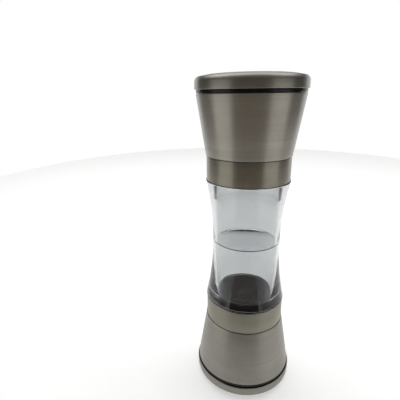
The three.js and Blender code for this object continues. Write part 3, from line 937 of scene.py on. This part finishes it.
JAR_THREAD = {
    "Turns": 1.5,
    "Path Radius": 22.325 * MM,
    "Pitch": PITCH * MM,
    "Start Level": THREAD_LOW * MM,
    "Root Width": 2.3 * MM,
    "Crest Width": 1.0 * MM,
    "Ridge Height": 1.25 * MM,
    "Material": ACRYLIC,
}
for end in SIDES:
    jar = bake(jar, THREAD, JAR_THREAD)
    jar.transform(TURN_OVER)
tidy(jar)
show(jar, "jar_finished", "jar", "jar", ACRYLIC)
print("jar", PIECES["jar_finished"])

# %% [markdown]
# ## Screw ring and gasket
# The ring inside each collar has the groove that the jar's thread runs in. It leaves
# through the top, so the thread can enter. Its lip laps the collar's edge and meets the
# jar's shoulder, which shows through the clear foot as a fine black line. The gasket has a
# bead on each face that seals against the jar's mouth.

# %% Screw rings and gaskets
RING_BORE = 22.35
LIP_R = COLLAR_R - 0.05
ring_outline = [
    (RING_BORE, RING_LOW, 0.3),
    (CARRIER_R, RING_LOW, 0.3),
    (CARRIER_R, RING_TOP - 0.6, 0.1),
    (RING_R, RING_TOP - 0.6, 0.1),
    (RING_R, COLLAR_TOP + 0.05, 0.02),
    (LIP_R, COLLAR_TOP + 0.05, 0.02),
    (LIP_R, SHOULDER + 0.02, 0.05),
    (RING_BORE, SHOULDER + 0.02, 0.1),
]
ring = lathe(ring_outline, BLACK_ABS, facets=160)
tidy(ring)
ring = bake(
    ring,
    THREAD,
    {
        "Turns": 2.8125,
        "Path Radius": 22.7 * MM,
        "Pitch": PITCH * MM,
        "Start Level": (THREAD_LOW - PITCH / 16) * MM,
        "Start Angle": -math.pi / 8,
        "Root Width": 2.7 * MM,
        "Crest Width": 1.7 * MM,
        "Ridge Height": 1.4 * MM,
        "Cut": True,
        "Material": BLACK_ABS,
    },
)
both_ends(ring, "screw_ring", "base", BLACK_ABS)

gasket_outline = [
    (18.9, GASKET_LOW + 0.12, 0.1),
    (19.9, GASKET_LOW + 0.12, 0.1),
    (20.35, GASKET_LOW, 0.3),
    (20.8, GASKET_LOW + 0.12, 0.1),
    (GASKET_R, GASKET_LOW + 0.12, 0.15),
    (GASKET_R, GASKET_TOP - 0.12, 0.15),
    (20.8, GASKET_TOP - 0.12, 0.1),
    (20.35, GASKET_TOP, 0.3),
    (19.9, GASKET_TOP - 0.12, 0.1),
    (18.9, GASKET_TOP - 0.12, 0.15),
]
both_ends(lathe(gasket_outline, SILICONE), "jar_gasket", "gasket", SILICONE)
print("ring", PIECES["lower_screw_ring_finished"], "gasket", PIECES["lower_jar_gasket_finished"])

# %% [markdown]
# ## Curved bars: feed windows and the clip
# A bar bent along an arc makes two things. Four thick ones, set round the axis, cut the
# feed windows through the carrier's deck. One thin one is the open spring clip that holds
# the turning head to the carrier. The bar's section has rounded corners.


# %% The curved bar tree
def bar_tree():
    """Bars along an arc, copied round the axis. They are shown, or cut from a body."""
    tree, given = new_tree(
        "curved_bars",
        (
            ("Body", "NodeSocketGeometry"),
            ("Copies", "NodeSocketInt", 1),
            ("Path Radius", "NodeSocketFloat", 0.01),
            ("Start Angle", "NodeSocketFloat", 0.0),
            ("Sweep Angle", "NodeSocketFloat", 1.0),
            ("Width", "NodeSocketFloat", 0.002),
            ("Thickness", "NodeSocketFloat", 0.001),
            ("Corner", "NodeSocketFloat", 0.0002),
            ("Level", "NodeSocketFloat", 0.0),
            ("Cut", "NodeSocketBool", False),
            ("Material", "NodeSocketMaterial"),
        ),
    )
    arc = add(
        tree,
        "GeometryNodeCurveArc",
        {
            "Resolution": 97,
            "Radius": given["Path Radius"],
            "Start Angle": given["Start Angle"],
            "Sweep Angle": given["Sweep Angle"],
        },
        mode="RADIUS",
    )
    upright = add(tree, "GeometryNodeSetCurveNormal", {"Curve": arc}, mode="Z_UP")
    size = {"Width": given["Width"], "Height": given["Thickness"]}
    section = add(tree, "GeometryNodeCurvePrimitiveQuadrilateral", size, mode="RECTANGLE")
    corner = {"Curve": section, "Count": 4, "Radius": given["Corner"], "Limit Radius": True}
    softened = add(tree, "GeometryNodeFilletCurve", corner, mode="POLY")
    sweep = {"Curve": upright, "Profile Curve": softened, "Fill Caps": True}
    bar = add(tree, "GeometryNodeCurveToMesh", sweep)
    places = add(tree, "GeometryNodeMeshLine", {"Count": given["Copies"], "Offset": (0, 0, 0)})
    number = add(tree, "GeometryNodeInputIndex")
    share = add(tree, "ShaderNodeMath", {0: number, 1: given["Copies"]}, operation="DIVIDE")
    angle = add(tree, "ShaderNodeMath", {0: share, 1: 2 * math.pi}, operation="MULTIPLY")
    turn = add(tree, "ShaderNodeCombineXYZ", {"Z": angle})
    ring = {"Points": places, "Instance": bar, "Rotation": turn}
    copies = add(tree, "GeometryNodeInstanceOnPoints", ring)
    lift = add(tree, "ShaderNodeCombineXYZ", {"Z": given["Level"]})
    placed = add(tree, "GeometryNodeTransform", {"Geometry": copies, "Translation": lift})
    real = add(tree, "GeometryNodeRealizeInstances", {"Geometry": placed})
    choose_cut(tree, given, real, real)
    return tree


BARS = bar_tree()
print("curved bar nodes", len(BARS.nodes))

# %% [markdown]
# ## Carrier
# The carrier is the fixed middle of each end. Its plug stands up inside the jar's mouth,
# its spigot carries the turning head, and its deck has the feed windows. Its rim steps
# down in rings, which catch light through the clear jar.

# %% Carriers
BOSS_R = 5.2
DECK_LOW = 53.4
carrier_outline = [
    (0, 50.2),
    (2.5, 50.2, 0.2),
    (2.5, 44.8, 0.3),
    (BOSS_R, 44.8, 0.4),
    (BOSS_R, DECK_LOW, 0.6),
    (12.4, DECK_LOW, 0.6),
    (12.4, CARRIER_LOW, 0.3),
    (14.1, CARRIER_LOW, 0.4),
    (14.1, 41.2, 0.1),
    (13.5, 41.2, 0.1),
    (13.5, 42.7, 0.1),
    (14.1, 42.7, 0.1),
    (14.1, 45.8, 0.3),
    (CARRIER_R, 45.8, 0.2),
    (CARRIER_R, 47.3, 0.2),
    (18.1, 47.3, 0.2),
    (18.1, CARRIER_TOP, 0.5),
    (16.9, CARRIER_TOP, 0.4),
    (16.6, 58.4, 0.4),
    (14.8, 58.4, 0.4),
    (14.4, 55.9, 0.5),
    (8.2, 55.9, 0.8),
    (BOSS_R - 0.8, 59.0, 0.8),
    (0, 60.0),
]
carrier = lathe(carrier_outline, BLACK_ABS, closed=False, facets=160)
tidy(carrier)
WINDOW_LOW_R = 6.4
WINDOW_HIGH_R = 12.3
WINDOW_SWEEP = math.radians(58)
carrier = bake(
    carrier,
    BARS,
    {
        "Copies": 4,
        "Path Radius": (WINDOW_LOW_R + WINDOW_HIGH_R) / 2 * MM,
        "Start Angle": -WINDOW_SWEEP / 2,
        "Sweep Angle": WINDOW_SWEEP,
        "Width": (WINDOW_HIGH_R - WINDOW_LOW_R) * MM,
        "Thickness": 12 * MM,
        "Corner": 0.05 * MM,
        "Level": 56.0 * MM,
        "Cut": True,
        "Material": BLACK_ABS,
    },
)
both_ends(carrier, "carrier", "base", BLACK_ABS)
print("carrier", PIECES["lower_carrier_finished"])

# %% Retaining clips
CLIP_MOUTH = math.radians(28)
CLIP_BORE = 13.75
clip = bake(
    bpy.data.meshes.new("nothing"),
    BARS,
    {
        "Copies": 1,
        "Path Radius": (CLIP_R + CLIP_BORE) / 2 * MM,
        "Start Angle": CLIP_MOUTH / 2,
        "Sweep Angle": 2 * math.pi - CLIP_MOUTH,
        "Width": (CLIP_R - CLIP_BORE) * MM,
        "Thickness": (CLIP_TOP - CLIP_LOW) * MM,
        "Corner": 0.15 * MM,
        "Level": (CLIP_TOP + CLIP_LOW) / 2 * MM,
        "Material": BRIGHT_STEEL,
    },
)
both_ends(clip, "retaining_clip", "base", BRIGHT_STEEL)
print("clip", PIECES["lower_retaining_clip_finished"])

# %% [markdown]
# ## Springs
# The spring presses the rotor against the knob. It is wound from round wire, and its end
# coils are closed flat so that it stands square. The wire runs along a spiral whose height
# rises only between the two flat coils. It is built at one length, though in the mill it
# shortens as the knob draws the rotor up.


# %% The spring tree
def spring_tree():
    """A compression spring with flat end coils."""
    tree, given = new_tree(
        "spring",
        (
            ("Coils", "NodeSocketFloat", 4.5),
            ("Flat Coils", "NodeSocketFloat", 0.6),
            ("Coil Radius", "NodeSocketFloat", 0.004),
            ("Wire Radius", "NodeSocketFloat", 0.0004),
            ("Low Level", "NodeSocketFloat", 0.0),
            ("High Level", "NodeSocketFloat", 0.01),
            ("Material", "NodeSocketMaterial"),
        ),
    )
    spiral = add(
        tree,
        "GeometryNodeCurveSpiral",
        {
            "Resolution": 48,
            "Rotations": given["Coils"],
            "Start Radius": given["Coil Radius"],
            "End Radius": given["Coil Radius"],
            "Height": 0.0,
        },
    )
    along = add(tree, "GeometryNodeSplineParameter").outputs["Factor"]
    coils = {0: given["Flat Coils"], 1: given["Coils"]}
    flat = add(tree, "ShaderNodeMath", coils, operation="DIVIDE")
    level = add(
        tree,
        "ShaderNodeMapRange",
        {
            "Value": along,
            "From Min": flat,
            "From Max": add(tree, "ShaderNodeMath", {0: 1.0, 1: flat}, operation="SUBTRACT"),
            "To Min": given["Low Level"],
            "To Max": given["High Level"],
        },
    )
    lift = add(tree, "ShaderNodeCombineXYZ", {"Z": level})
    raised = add(tree, "GeometryNodeSetPosition", {"Geometry": spiral, "Offset": lift})
    section = {"Resolution": 16, "Radius": given["Wire Radius"]}
    wire = add(tree, "GeometryNodeCurvePrimitiveCircle", section)
    sweep = {"Curve": raised, "Profile Curve": wire, "Fill Caps": True}
    finish_tree(tree, add(tree, "GeometryNodeCurveToMesh", sweep), given["Material"])
    return tree


WIRE_R = 0.4
spring = bake(
    bpy.data.meshes.new("nothing"),
    spring_tree(),
    {
        "Coils": 4.5,
        "Flat Coils": 0.6,
        "Coil Radius": (SPRING_R - WIRE_R) * MM,
        "Wire Radius": WIRE_R * MM,
        "Low Level": (SPRING_LOW + WIRE_R) * MM,
        "High Level": (SPRING_TOP - WIRE_R) * MM,
        "Material": BRIGHT_STEEL,
    },
)
springs = both_ends(spring, "spring", "base", BRIGHT_STEEL)
for side, piece, end in zip(SIDES, springs, (SPRING_TOP, HEIGHT - SPRING_TOP)):
    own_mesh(piece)
print("spring", PIECES["lower_spring_finished"], "pieces", len(PIECES))

# %% [markdown]
# ## Table with painted glow, world light and camera
# The mill stands near the front edge of a round pale plastic table. Its glow is painted light,
# an emission that keeps it white, and it fades to painted shade towards its front edge. It has
# no hard shadow, so the clear jar shows against plain white.
# A soft box stands low on each side and makes the tall bars of light in the steel, and a wide
# one above draws the line on the crown. The world is white behind the mill and dark in front
# of it, because steel and black plastic look like what they reflect. Below the table's front
# edge it is a warm brown, which gives the middle of each skirt its tone. The camera is close
# by and almost level with the top, so the upper end looks broader than the lower one.

# %% Round table
TABLE_R = 620.0
TABLE_THICK = 18.0
TABLE_BACK = 400.0
# Strength and stops of the painted glow; the dark first stop is painted shade at the front edge.
PAINTED_GLOW = 0.56
PAINTED_GLOW_FRONT = -0.2
PAINTED_GLOW_BACK = 1.0
PAINTED_GLOW_STOPS = (
    (0.0, (0.12, 0.11, 0.10, 1)),
    (0.12, (0.80, 0.80, 0.80, 1)),
    (1.0, (0.84, 0.84, 0.84, 1)),
)
table_outline = [
    (0, -TABLE_THICK),
    (TABLE_R - 4, -TABLE_THICK, 3.0),
    (TABLE_R, -TABLE_THICK / 2, 6.0),
    (TABLE_R, 0, 4.0),
    (0, 0),
]
# Painted light: the emission is brightest behind the mill and fades to painted shade at the
# table's front edge.
TABLE, _tree = new_material("table_painted_glow")
_place = add(_tree, "ShaderNodeTexCoord").outputs["Object"]
_level = add(_tree, "ShaderNodeSeparateXYZ", {"Vector": _place}).outputs["Y"]
_depth = {"Value": _level, "From Min": PAINTED_GLOW_FRONT, "From Max": PAINTED_GLOW_BACK}
_painted_fade = add(_tree, "ShaderNodeMapRange", _depth)
_painted_light = add(_tree, "ShaderNodeValToRGB", {"Fac": _painted_fade}, PAINTED_GLOW_STOPS)
_stops = ((0.3, srgb("#f1f1f0")), (0.7, srgb("#f4f4f3")))
_shade = add(_tree, "ShaderNodeValToRGB", {"Fac": plain_noise(_tree, 30.0, 3.0)}, _stops)
surface(_tree, _shade, 0.6, Emission_Color=_painted_light, Emission_Strength=PAINTED_GLOW)
floor_mesh = lathe(table_outline, TABLE, closed=False, facets=256)
tidy(floor_mesh)
floor_mesh.transform(Matrix.Translation((0, TABLE_BACK * MM, 0)))
floor = bpy.data.objects.new("floor", floor_mesh)
bpy.context.scene.collection.objects.link(floor)
print("table", len(floor_mesh.polygons), "faces")

# %% World light
WHITE = (1.0, 1.0, 1.0, 1)
CEILING = (0.18, 0.18, 0.18, 1)
ROOM_STOPS = ((0.0, (0.016, 0.013, 0.011, 1)), (1.0, (0.43, 0.36, 0.30, 1)))
world = bpy.data.worlds.new("studio")
bpy.context.scene.world = world
world.use_nodes = True
sky = world.node_tree
sky.nodes.clear()
way = add(sky, "ShaderNodeTexCoord").outputs["Generated"]
axes = add(sky, "ShaderNodeSeparateXYZ", {"Vector": way}).outputs
fades = []
for axis, start, end in (("Y", 0.52, 0.75), ("Z", 0.0, -0.45), ("Z", 0.25, 0.34)):
    reach = {"Value": axes[axis], "From Min": start, "From Max": end}
    fades.append(add(sky, "ShaderNodeMapRange", reach, interpolation_type="SMOOTHSTEP"))
behind, below, above = fades
room = add(sky, "ShaderNodeValToRGB", {"Fac": below}, ROOM_STOPS)
# A colour mix reads its factor from input 0 and its two colours from inputs 6 and 7.
wall = add(sky, "ShaderNodeMix", {0: behind, 6: room, 7: WHITE}, data_type="RGBA")
air = add(sky, "ShaderNodeMix", {0: above, 6: wall, 7: CEILING}, data_type="RGBA")
glow = add(sky, "ShaderNodeBackground", {"Color": air, "Strength": 1.0})
add(sky, "ShaderNodeOutputWorld", {"Surface": glow})
print("world nodes", len(sky.nodes))


# %% Soft boxes
def soft_box(name, place, target, width, height, watts):
    """A rectangular area light that faces a point."""
    light = bpy.data.lights.new(name, "AREA")
    light.shape = "RECTANGLE"
    light.size = width
    light.size_y = height
    light.energy = watts
    lamp = bpy.data.objects.new(name, light)
    bpy.context.scene.collection.objects.link(lamp)
    aim = (Vector(target) - Vector(place)).to_track_quat("-Z", "Y")
    lamp.matrix_world = Matrix.Translation(place) @ aim.to_matrix().to_4x4()
    print(name, watts, "W")


MIDDLE = (0, 0, WAIST * MM)
soft_box("left_box", (-0.82, -0.44, -0.08), MIDDLE, 0.75, 0.5, 1.3)
soft_box("right_box", (0.84, -0.42, -0.10), MIDDLE, 0.75, 0.5, 1.25)
soft_box("top_box", (0, 0.30, 0.80), (0, 0.24, 0), 1.2, 0.7, 5.4)

# %% Camera
LENS_MM = 29.715
VIEWER_PLACE = (0, -0.1989, 0.1897)
camera = bpy.data.cameras.new("camera")
camera.lens = LENS_MM
camera.clip_start = 0.01
viewer = bpy.data.objects.new("camera", camera)
bpy.context.scene.collection.objects.link(viewer)
PITCH_DOWN, TURN, ROLL = 0.3122, -0.1491, -0.0137
ahead = Vector(
    (
        math.sin(TURN) * math.cos(PITCH_DOWN),
        math.cos(TURN) * math.cos(PITCH_DOWN),
        -math.sin(PITCH_DOWN),
    )
)
level_right = Vector((math.cos(TURN), -math.sin(TURN), 0))
level_up = level_right.cross(ahead)
right = math.cos(ROLL) * level_right + math.sin(ROLL) * level_up
up = math.cos(ROLL) * level_up - math.sin(ROLL) * level_right
turned = Matrix((right, up, -ahead)).transposed().to_4x4()
viewer.matrix_world = Matrix.Translation(VIEWER_PLACE) @ turned
bpy.context.scene.camera = viewer
bpy.context.scene.view_settings.view_transform = "Standard"
print("lens", camera.lens, "mm")
